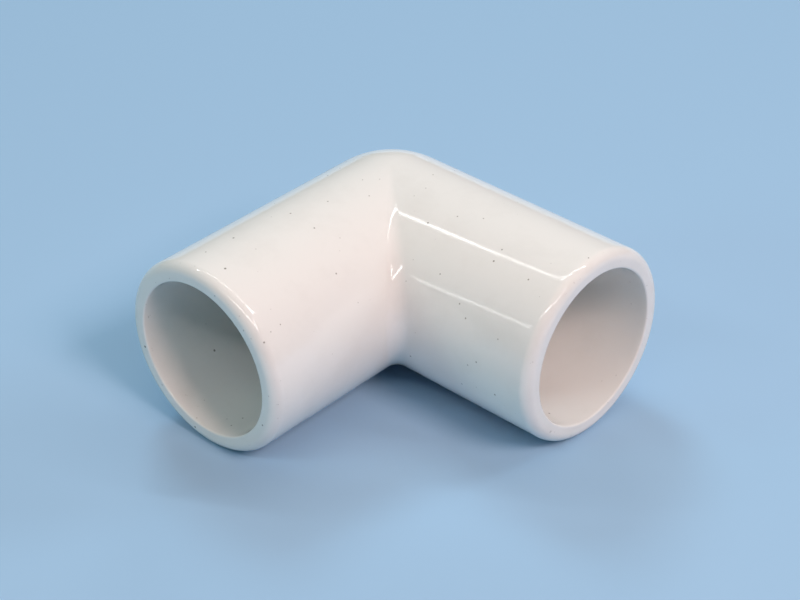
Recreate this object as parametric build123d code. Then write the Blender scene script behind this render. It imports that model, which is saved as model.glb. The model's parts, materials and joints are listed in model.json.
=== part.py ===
"""90-degree PVC elbow fitting with two solvent-weld sockets, for nominal 3/4 in (DN 20) pipe.

The real fitting is one injection moulding, so the whole model is one node, elbow_body. It lies flat:
one arm runs along +X and the other along -Y, and their axes cross at the height of OUTER_RADIUS. The
origin is at the middle of the underside of the fitting's box. All sizes are in millimetres.
"""
from build123d import *
import os

# The pipe that is cemented into each socket
PIPE_DIAMETER = 26.67
SOCKET_CLEARANCE = 0.025  # radial, halfway down the socket's slight taper

# Along each arm, from the crossing of the axes
CENTRE_TO_STOP = 18.0  # to the shoulder that the pipe's end meets
SOCKET_DEPTH = 25.4  # from that shoulder out to the mouth

# Walls
SOCKET_WALL = 3.14
SHOULDER_WIDTH = 1.66  # radial step from the socket down to the waterway

# Rounded edges
RIM_OUTER_ROUND = 1.8
RIM_INNER_ROUND = 0.3
CROTCH_ROUND = 2.8  # in the crease where the arms meet on the inside of the bend
SOCKET_BOTTOM_ROUND = 0.4
SHOULDER_ROUND = 0.5
WATERWAY_CORNER_ROUND = 0.8  # on the waterway's edge at the inside of the bend

# What follows from the sizes above
SOCKET_RADIUS = PIPE_DIAMETER / 2 + SOCKET_CLEARANCE
OUTER_RADIUS = SOCKET_RADIUS + SOCKET_WALL
WATERWAY_RADIUS = SOCKET_RADIUS - SHOULDER_WIDTH
CENTRE_TO_MOUTH = CENTRE_TO_STOP + SOCKET_DEPTH

# The crossing of the axes stands off from the origin so that the box is centred on it
CROSSING_OFFSET = (CENTRE_TO_MOUTH - OUTER_RADIUS) / 2
CROSSING = Vector(-CROSSING_OFFSET, CROSSING_OFFSET, OUTER_RADIUS)
ARM_DIRECTIONS = [Vector(1, 0, 0), Vector(0, -1, 0)]


def rod(direction, radius, start, end):
    """A round rod on one arm's axis, between two distances from the crossing."""
    base = Plane(origin=CROSSING + direction * start, z_dir=direction)
    return Solid.make_cylinder(radius, end - start, base)


def bent_rod(radius, length, crease_round):
    """Two equal rods that meet at the crossing, with a ball outside the bend and a filleted crease inside."""
    rods = [rod(direction, radius, 0, length) for direction in ARM_DIRECTIONS]
    shape = Pos(CROSSING) * Sphere(radius) + rods
    crease = shape.edges().filter_by(GeomType.ELLIPSE)
    return fillet(crease, crease_round)


def outermost_circles(shape, radius):
    """On each arm, the circular edge of the given radius that lies nearest the mouth."""
    circles = shape.edges().filter_by(GeomType.CIRCLE)
    matching = circles.filter_by(lambda edge: abs(edge.radius - radius) < 0.001)
    return [matching.sort_by(Axis(CROSSING, direction))[-1] for direction in ARM_DIRECTIONS]


def socket_core(direction):
    """The hollow of one socket, from the shoulder to the mouth, with a rounded corner at its bottom."""
    core = rod(direction, SOCKET_RADIUS, CENTRE_TO_STOP, CENTRE_TO_MOUTH)
    bottom = core.edges().filter_by(GeomType.CIRCLE).sort_by(Axis(CROSSING, direction))[0]
    return fillet(bottom, SOCKET_BOTTOM_ROUND)


def elbow_body():
    """The whole fitting: a bent rod, less the bent waterway and the two sockets, with its edges rounded."""
    body = bent_rod(OUTER_RADIUS, CENTRE_TO_MOUTH, CROTCH_ROUND)
    body = fillet(outermost_circles(body, OUTER_RADIUS), RIM_OUTER_ROUND)
    body -= bent_rod(WATERWAY_RADIUS, CENTRE_TO_STOP + SOCKET_DEPTH / 2, WATERWAY_CORNER_ROUND)
    body -= [socket_core(direction) for direction in ARM_DIRECTIONS]
    body = fillet(outermost_circles(body, WATERWAY_RADIUS), SHOULDER_ROUND)
    body = fillet(outermost_circles(body, SOCKET_RADIUS), RIM_INNER_ROUND)
    return body


os.makedirs("parts", exist_ok=True)
export_step(elbow_body(), "parts/elbow_body.step")
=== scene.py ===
"""A white PVC 90-degree elbow fitting that lies on a pale studio table.

Lengths are in metres. The fitting's outside and the sockets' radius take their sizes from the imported
frame, and the rest of its sizes are stated here. The lamps and the camera are placed around it.
"""
import json
import math

import bmesh
import bpy
import numpy as np
from mathutils import Matrix, Vector


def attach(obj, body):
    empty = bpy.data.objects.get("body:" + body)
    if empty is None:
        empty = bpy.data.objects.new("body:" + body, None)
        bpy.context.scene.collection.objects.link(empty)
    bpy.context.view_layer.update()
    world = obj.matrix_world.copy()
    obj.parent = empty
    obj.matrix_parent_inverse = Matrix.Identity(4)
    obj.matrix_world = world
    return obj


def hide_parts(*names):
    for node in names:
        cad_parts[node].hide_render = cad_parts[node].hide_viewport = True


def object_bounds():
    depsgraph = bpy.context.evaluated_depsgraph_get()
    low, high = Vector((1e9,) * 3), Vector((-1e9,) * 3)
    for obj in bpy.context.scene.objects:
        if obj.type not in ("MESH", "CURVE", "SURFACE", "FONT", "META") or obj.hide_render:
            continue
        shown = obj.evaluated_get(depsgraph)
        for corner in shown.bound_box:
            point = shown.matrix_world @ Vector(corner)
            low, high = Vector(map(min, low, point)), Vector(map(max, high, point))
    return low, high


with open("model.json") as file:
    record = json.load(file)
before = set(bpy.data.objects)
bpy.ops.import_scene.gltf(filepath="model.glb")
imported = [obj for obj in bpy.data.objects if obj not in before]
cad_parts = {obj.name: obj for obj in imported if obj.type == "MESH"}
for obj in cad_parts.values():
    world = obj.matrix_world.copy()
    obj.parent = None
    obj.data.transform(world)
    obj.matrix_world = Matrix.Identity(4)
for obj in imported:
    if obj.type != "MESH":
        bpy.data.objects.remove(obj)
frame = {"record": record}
cad_low, cad_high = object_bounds()
MM = 0.001


# ------------------------------------------------------------------------------------------- elbow
# The real piece is one injection moulding in rigid white PVC, with nothing inside it. Two core pins,
# drawn out through the mouths, form the sockets, the shoulders that stop the pipe, and the waterway.
# Every corner is slightly rounded, and the mould's polished steel leaves the skin glossy.

OUTER_RADIUS = (cad_high.z - cad_low.z) / 2
CENTRE_TO_MOUTH = cad_high.x - cad_low.x - OUTER_RADIUS
CROSSING = Vector((cad_low.x + OUTER_RADIUS, cad_high.y - OUTER_RADIUS, cad_low.z + OUTER_RADIUS))
SOCKET_RADIUS = frame["record"]["mounts"][0]["dims"]["r_mm"] * MM
SOCKET_DEPTH = 25.4 * MM
SHOULDER_WIDTH = 1.66 * MM
WATERWAY_RADIUS = SOCKET_RADIUS - SHOULDER_WIDTH
CENTRE_TO_STOP = CENTRE_TO_MOUTH - SOCKET_DEPTH

CROTCH_ROUND = 2.8 * MM
WATERWAY_CORNER_ROUND = 0.8 * MM
RIM_OUTER_ROUND = 1.8 * MM
RIM_INNER_ROUND = 0.3 * MM
SOCKET_BOTTOM_ROUND = 0.4 * MM
SHOULDER_ROUND = 0.5 * MM

POINTS_AROUND = 232  # a multiple of four puts a point on the top, the bottom and both sides
SWING_MARGIN = 1e-12  # keeps half_bend's swing above zero at the top and the bottom, as it is divided by


def half_bend(radius, crease_round, steps, angle):
    """Rings from the upright plane between the two arms to the start of the +X arm.

    On the heel's side each point turns about the upright line through the crossing, at the distance
    radius * cos(angle), so that the rings trace a ball. On the crotch's side the surface is the one left by
    a small ball that rolls along both arms at once: its centre is radius + crease_round from both axes, and
    the point swings about that centre from one arm's point of contact to the other's.
    """
    share = np.linspace(0, 1, steps)[:, None]
    reach = np.cos(angle)[None, :]
    height = np.sin(angle)[None, :]
    turn = np.pi / 4 * (1 - share)
    level = radius * height + 0 * share
    heel = np.stack([-radius * reach * np.sin(turn), radius * reach * np.cos(turn), level], axis=-1)
    side = np.abs(reach)
    swing = np.arccos(height ** 2 - SWING_MARGIN)
    near = np.sin((1 + share) / 2 * swing) / np.sin(swing)
    far = np.sin((1 - share) / 2 * swing) / np.sin(swing)
    crotch = np.stack([
        side * (radius + crease_round - crease_round * far),
        -side * (radius + crease_round - crease_round * near),
        height * (radius + crease_round - crease_round * (near + far)),
    ], axis=-1)
    return np.where(reach[..., None] > 0, heel, crotch)


def straight_run(ring, end_x, steps):
    """Rings that follow on from the given ring, along +X, to the plane x = end_x."""
    share = np.linspace(0, 1, steps + 1)[1:, None]
    rings = np.repeat(ring[None], steps, axis=0)
    rings[..., 0] += share * (end_x - ring[None, :, 0])
    return rings


def arc(centre_x, centre_radius, radius, first_degrees, last_degrees, steps):
    """An arc of a profile, as (x, distance from the axis) points, its first point left out."""
    a = np.radians(np.linspace(first_degrees, last_degrees, steps + 1)[1:])
    return np.stack([centre_x + radius * np.cos(a), centre_radius + radius * np.sin(a)], axis=-1)


def line(start, end, steps):
    """A straight stretch of a profile, as (x, distance from the axis) points, its first point left out."""
    share = np.linspace(0, 1, steps + 1)[1:, None]
    return np.array(start) * (1 - share) + np.array(end) * share


def socket_rings(angle):
    """Rings for the rim, the socket and the shoulder: a profile of lines and arcs turned about the axis."""
    mouth, stop = CENTRE_TO_MOUTH, CENTRE_TO_STOP
    rim_out = OUTER_RADIUS - RIM_OUTER_ROUND
    rim_in = SOCKET_RADIUS + RIM_INNER_ROUND
    bottom = SOCKET_RADIUS - SOCKET_BOTTOM_ROUND
    lip = WATERWAY_RADIUS + SHOULDER_ROUND
    profile = np.concatenate([
        arc(mouth - RIM_OUTER_ROUND, rim_out, RIM_OUTER_ROUND, 90, 0, 12),
        line((mouth, rim_out), (mouth, rim_in), 4),
        arc(mouth - RIM_INNER_ROUND, rim_in, RIM_INNER_ROUND, 0, -90, 6),
        line((mouth - RIM_INNER_ROUND, SOCKET_RADIUS), (stop + SOCKET_BOTTOM_ROUND, SOCKET_RADIUS), 30),
        arc(stop + SOCKET_BOTTOM_ROUND, bottom, SOCKET_BOTTOM_ROUND, 90, 180, 6),
        line((stop, bottom), (stop, lip), 3),
        arc(stop - SHOULDER_ROUND, lip, SHOULDER_ROUND, 0, -90, 6),
    ])
    x, radius = profile[:, :1], profile[:, 1:]
    return np.stack([x + 0 * angle, radius * np.cos(angle), radius * np.sin(angle)], axis=-1)


def elbow_rings():
    """One closed loop of rings: out along the +X arm, in through its bore, and the same mirrored for -Y.

    The mirror is the upright plane between the arms, which swaps x with -y.
    """
    angle = np.linspace(0, 2 * np.pi, POINTS_AROUND, endpoint=False)
    outer_bend = half_bend(OUTER_RADIUS, CROTCH_ROUND, 16, angle)
    outer_arm = straight_run(outer_bend[-1], CENTRE_TO_MOUTH - RIM_OUTER_ROUND, 36)
    inner_bend = half_bend(WATERWAY_RADIUS, WATERWAY_CORNER_ROUND, 10, angle)
    inner_arm = straight_run(inner_bend[-1], CENTRE_TO_STOP - SHOULDER_ROUND, 10)
    half = np.concatenate([outer_bend, outer_arm, socket_rings(angle), inner_arm[-2::-1], inner_bend[::-1]])
    mirrored = half[-2:0:-1][..., [1, 0, 2]] * (-1, -1, 1)
    return np.concatenate([half, mirrored]) + np.array(CROSSING)


def grid_mesh(name, rings):
    """A closed mesh of quads from rings that join end to end, with its doubled points merged."""
    count, around = rings.shape[:2]
    u, t = np.meshgrid(np.arange(count), np.arange(around), indexing="ij")
    next_u, next_t = (u + 1) % count, (t + 1) % around
    near_ring, far_ring = u * around, next_u * around
    quads = np.stack([near_ring + t, near_ring + next_t, far_ring + next_t, far_ring + t], axis=-1)
    mesh = bpy.data.meshes.new(name)
    mesh.from_pydata(rings.reshape(-1, 3), [], quads.reshape(-1, 4).tolist())
    work = bmesh.new()
    work.from_mesh(mesh)
    bmesh.ops.remove_doubles(work, verts=work.verts, dist=0.0001 * MM)
    work.to_mesh(mesh)
    work.free()
    mesh.shade_smooth()
    return mesh


elbow = bpy.data.objects.new("elbow_moulding", grid_mesh("elbow_moulding", elbow_rings()))
bpy.context.collection.objects.link(elbow)
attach(elbow, "root")
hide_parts("elbow_body")


def from_srgb(hex_colour):
    """A hex colour such as #ECECE8 as linear red, green, blue and alpha."""
    values = [int(hex_colour[i:i + 2], 16) / 255 for i in (1, 3, 5)]
    return [v / 12.92 if v <= 0.04045 else ((v + 0.055) / 1.055) ** 2.4 for v in values] + [1.0]


def add_node(tree, kind, inputs=None, **settings):
    """Adds a node with its settings. Each input takes a value, or a link if given another node's output."""
    node = tree.nodes.new(kind)
    for name, value in settings.items():
        setattr(node, name, value)
    for socket, value in (inputs or {}).items():
        if isinstance(value, bpy.types.NodeSocket):
            tree.links.new(value, node.inputs[socket])
        else:
            node.inputs[socket].default_value = value
    return node


def new_material(name):
    """An empty node material, with its tree and its output node."""
    material = bpy.data.materials.new(name)
    material.use_nodes = True
    material.node_tree.nodes.clear()
    return material, material.node_tree, add_node(material.node_tree, "ShaderNodeOutputMaterial")


# Rigid PVC, whitened with titanium dioxide and injection moulded against polished steel: an opaque,
# slightly warm white under a sharp gloss. Regrind leaves tiny dark specks, and handling leaves faint grey
# smudges and a few scuffs at the rims. Shrinkage makes the skin very slightly wavy, which bends the
# lines of light a little.
PVC_WHITE = from_srgb("#EEEDE9")
PVC_SMUDGE = from_srgb("#DAD8D2")
PVC_SPECK = from_srgb("#6E675C")
SPECK_SPACING = 1.8 * MM
SPECK_RADIUS = 0.24 * MM
SPECK_RARITY = 0.6  # the higher, the more cells have no speck, and the fewer specks are large
SPECK_SOFT_EDGE = 0.4 * SPECK_RADIUS
SPECK_STRENGTH = 0.8
SMUDGE_SIZE = 9 * MM
SMUDGE_FROM, SMUDGE_TO = 0.5, 0.8  # the noise values at which a smudge starts and is at its strongest
SMUDGE_STRENGTH = 0.3
SCUFF_SIZE = 1.1 * MM
SCUFF_BAND = 4 * MM  # the width of the band along each rim that has scuffs
SCUFF_FROM, SCUFF_TO = 0.70, 0.76
SCUFF_STRENGTH = 0.4
GLOSS_FROM, GLOSS_TO = 0.3, 0.8  # the smudges' noise, over which the skin goes from clean to dull
CLEAN_ROUGHNESS, DULL_ROUGHNESS = 0.05, 0.11
WAVE_SIZE = 7 * MM
WAVE_HEIGHT = 0.01 * MM

pvc, tree, output = new_material("moulded_white_pvc")
place = add_node(tree, "ShaderNodeTexCoord").outputs["Object"]
speck_cells = add_node(tree, "ShaderNodeTexVoronoi", {"Vector": place, "Scale": 1 / SPECK_SPACING})
speck_draw = add_node(tree, "ShaderNodeSeparateColor", {"Color": speck_cells.outputs["Color"]})
speck_reach = add_node(tree, "ShaderNodeMath", {
    0: speck_draw.outputs["Red"], 1: (1 + SPECK_RARITY) * SPECK_RADIUS / SPECK_SPACING,
    2: -SPECK_RARITY * SPECK_RADIUS / SPECK_SPACING}, operation="MULTIPLY_ADD")
speck_depth = add_node(tree, "ShaderNodeMath", {
    0: speck_reach.outputs[0], 1: speck_cells.outputs["Distance"]}, operation="SUBTRACT")
speck = add_node(tree, "ShaderNodeMapRange", {
    "Value": speck_depth.outputs[0], "From Min": 0, "From Max": SPECK_SOFT_EDGE / SPECK_SPACING,
    "To Min": 0, "To Max": SPECK_STRENGTH})
smudge_noise = add_node(tree, "ShaderNodeTexNoise", {
    "Vector": place, "Scale": 1 / SMUDGE_SIZE, "Detail": 6, "Roughness": 0.65})
smudge = add_node(tree, "ShaderNodeMapRange", {
    "Value": smudge_noise.outputs["Fac"],
    "From Min": SMUDGE_FROM, "From Max": SMUDGE_TO, "To Min": 0, "To Max": SMUDGE_STRENGTH})
skin_colour = add_node(tree, "ShaderNodeMix", {
    "Factor": smudge.outputs[0], 6: PVC_WHITE, 7: PVC_SMUDGE}, data_type="RGBA")
axes = add_node(tree, "ShaderNodeSeparateXYZ", {"Vector": place})
near_rim_x = add_node(tree, "ShaderNodeMapRange", {
    "Value": axes.outputs["X"],
    "From Min": cad_high.x - SCUFF_BAND, "From Max": cad_high.x - RIM_OUTER_ROUND})
near_rim_y = add_node(tree, "ShaderNodeMapRange", {
    "Value": axes.outputs["Y"],
    "From Min": cad_low.y + RIM_OUTER_ROUND, "From Max": cad_low.y + SCUFF_BAND, "To Min": 1, "To Max": 0})
near_rim = add_node(tree, "ShaderNodeMath", {
    0: near_rim_x.outputs[0], 1: near_rim_y.outputs[0]}, operation="MAXIMUM")
scuff_noise = add_node(tree, "ShaderNodeTexNoise", {
    "Vector": place, "Scale": 1 / SCUFF_SIZE, "Detail": 3, "Roughness": 0.6})
scuff_marks = add_node(tree, "ShaderNodeMapRange", {
    "Value": scuff_noise.outputs["Fac"],
    "From Min": SCUFF_FROM, "From Max": SCUFF_TO, "To Min": 0, "To Max": SCUFF_STRENGTH})
scuff = add_node(tree, "ShaderNodeMath", {
    0: scuff_marks.outputs[0], 1: near_rim.outputs[0]}, operation="MULTIPLY")
marks = add_node(tree, "ShaderNodeMath", {0: speck.outputs[0], 1: scuff.outputs[0]}, operation="MAXIMUM")
marked_colour = add_node(tree, "ShaderNodeMix", {
    "Factor": marks.outputs[0], 6: skin_colour.outputs[2], 7: PVC_SPECK}, data_type="RGBA")
wave_noise = add_node(tree, "ShaderNodeTexNoise", {"Vector": place, "Scale": 1 / WAVE_SIZE, "Detail": 2})
wave = add_node(tree, "ShaderNodeBump", {
    "Height": wave_noise.outputs["Fac"], "Distance": WAVE_HEIGHT, "Strength": 1})
gloss = add_node(tree, "ShaderNodeMapRange", {
    "Value": smudge_noise.outputs["Fac"],
    "From Min": GLOSS_FROM, "From Max": GLOSS_TO, "To Min": CLEAN_ROUGHNESS, "To Max": DULL_ROUGHNESS})
shader = add_node(tree, "ShaderNodeBsdfPrincipled", {
    "Base Color": marked_colour.outputs[2], "Roughness": gloss.outputs[0], "IOR": 1.53,
    "Normal": wave.outputs[0],
    "Subsurface Weight": 0.15, "Subsurface Radius": (1, 1, 1), "Subsurface Scale": 0.6 * MM})
tree.links.new(shader.outputs[0], output.inputs["Surface"])
elbow.data.materials.append(pvc)


# ------------------------------------------------------------------------------------------- table
# A smooth sheet of pale blue paper, wide enough to fill every view. It lends the fitting's underside
# a little of its colour.
TABLE_HALF_WIDTH = 3.0
TABLE_COLOUR = from_srgb("#9FC1DE")

table_mesh = bpy.data.meshes.new("table")
sides = [(-1, -1), (1, -1), (1, 1), (-1, 1)]
corners = [(x * TABLE_HALF_WIDTH, y * TABLE_HALF_WIDTH, cad_low.z) for x, y in sides]
table_mesh.from_pydata(corners, [], [range(4)])
table = bpy.data.objects.new("table", table_mesh)
bpy.context.collection.objects.link(table)

paper, tree, output = new_material("pale_paper")
shader = add_node(tree, "ShaderNodeBsdfPrincipled", {"Base Color": TABLE_COLOUR, "Roughness": 0.85})
tree.links.new(shader.outputs[0], output.inputs["Surface"])
table_mesh.materials.append(paper)


# ------------------------------------------------------------------------------------------- camera
# A long lens looks down between the two arms from about a third of a metre. It aims at a point between
# the crossing of the axes and the crotch.
AZIMUTH = math.radians(43.35)
ELEVATION = math.radians(34.15)
ROLL = -0.0145
DISTANCE = 20.92 * OUTER_RADIUS
AIM_TO_RIGHT = 0.0746 * OUTER_RADIUS
AIM_IN_FRONT = 0.948 * OUTER_RADIUS
SENSOR_WIDTH = 36
FOCAL_LENGTH = 96.17
RIGHT = Vector((math.cos(AZIMUTH), math.sin(AZIMUTH), 0))
AWAY = Vector((-math.sin(AZIMUTH), math.cos(AZIMUTH), 0))
UP = Vector((0, 0, 1))

camera_data = bpy.data.cameras.new("camera")
camera_data.sensor_width = SENSOR_WIDTH
camera_data.lens = FOCAL_LENGTH
camera = bpy.data.objects.new("camera", camera_data)
aim = CROSSING + AIM_TO_RIGHT * RIGHT - AIM_IN_FRONT * AWAY
back = UP * math.sin(ELEVATION) - AWAY * math.cos(ELEVATION)
camera.matrix_world = (
    Matrix.Translation(aim + back * DISTANCE)
    @ back.to_track_quat("Z", "Y").to_matrix().to_4x4()
    @ Matrix.Rotation(ROLL, 4, "Z")
)
bpy.context.collection.objects.link(camera)
bpy.context.scene.camera = camera


# ------------------------------------------------------------------------------------------- light
# Thin bare tubes, overhead and on the left, show in the gloss as narrow lines and give part of the light.
# Soft lamps kept out of the gloss give most of the rest: a warm one toward the mouth on +X, a cool one on
# the left, two slightly cool ones at the back corners, and a nearly neutral one low behind.
SOFT_LAMP_DISTANCE = 0.9
SOFT_LAMP_SIZE = 0.25


def seen(right, away, up):
    """The point that lies so far to the camera's right, so far away from it and so far up."""
    return right * RIGHT + away * AWAY + up * UP


def lamp(name, start, end, width, power, colour, in_gloss):
    """A rectangular lamp that faces the fitting. Its middle line runs between the two points."""
    middle = (start + end) / 2
    along = (end - start).normalized()
    out = (middle - along * middle.dot(along)).normalized()
    data = bpy.data.lights.new(name, "AREA")
    data.shape = "RECTANGLE"
    data.size, data.size_y = (end - start).length, width
    data.energy = power
    data.color = from_srgb(colour)[:3]
    holder = bpy.data.objects.new(name, data)
    turn = Matrix([along, out.cross(along), out]).transposed().to_4x4()
    holder.matrix_world = Matrix.Translation(middle) @ turn
    holder.visible_glossy = in_gloss
    bpy.context.collection.objects.link(holder)


def tube(name, start, end, width, power):
    """A thin lamp between two points, each given as distances to the camera's right, away from it and up."""
    lamp(name, seen(*start), seen(*end), width, power, "#FFFFFF", in_gloss=True)


def soft_lamp(name, turn, rise, power, colour):
    """A square lamp, turned so many degrees from +X toward +Y and raised so many degrees above the table."""
    turn, rise = math.radians(turn), math.radians(rise)
    level = Vector((math.cos(turn), math.sin(turn), 0))
    middle = (level * math.cos(rise) + UP * math.sin(rise)) * SOFT_LAMP_DISTANCE
    half = UP.cross(level) * SOFT_LAMP_SIZE / 2
    lamp(name, middle - half, middle + half, SOFT_LAMP_SIZE, power, colour, in_gloss=False)


tube("back_tube", (-0.60, 0.22, 0.58), (-0.27, 0.225, 0.58), 0.010, 0.20)
tube("back_tube_end", (-0.27, 0.225, 0.58), (-0.10, 0.245, 0.58), 0.010, 0.05)
tube("side_tube", (-0.17, 0.21, 0.58), (0.50, 0.03, 0.58), 0.014, 0.80)
tube("front_tube", (-0.56, -0.30, 0.58), (0.37, -0.55, 0.58), 0.020, 1.35)
tube("front_side_tube", (0.32, -0.28, 0.58), (0.36, -0.55, 0.58), 0.020, 0.45)
tube("left_tube", (-0.96, -0.165, 0.31), (-0.74, -0.186, 0.45), 0.010, 0.07)
soft_lamp("warm_lamp", -7, 44, 4.0, "#FFDBD1")
soft_lamp("left_lamp", -120, 20, 0.9, "#CCFFF6")
soft_lamp("back_left_lamp", 150, 50, 1.9, "#DAF6FF")
soft_lamp("back_right_lamp", 60, 30, 1.5, "#E2F6FF")
soft_lamp("rear_lamp", 130, 12, 1.9, "#FFF6F0")

ROOM_COLOUR = from_srgb("#E4EAEC")
ROOM_BRIGHTNESS = 0.03

room = bpy.data.worlds.new("room")
room.use_nodes = True
room.node_tree.nodes["Background"].inputs["Color"].default_value = ROOM_COLOUR
room.node_tree.nodes["Background"].inputs["Strength"].default_value = ROOM_BRIGHTNESS
bpy.context.scene.world = room
bpy.context.scene.view_settings.view_transform = "Standard"
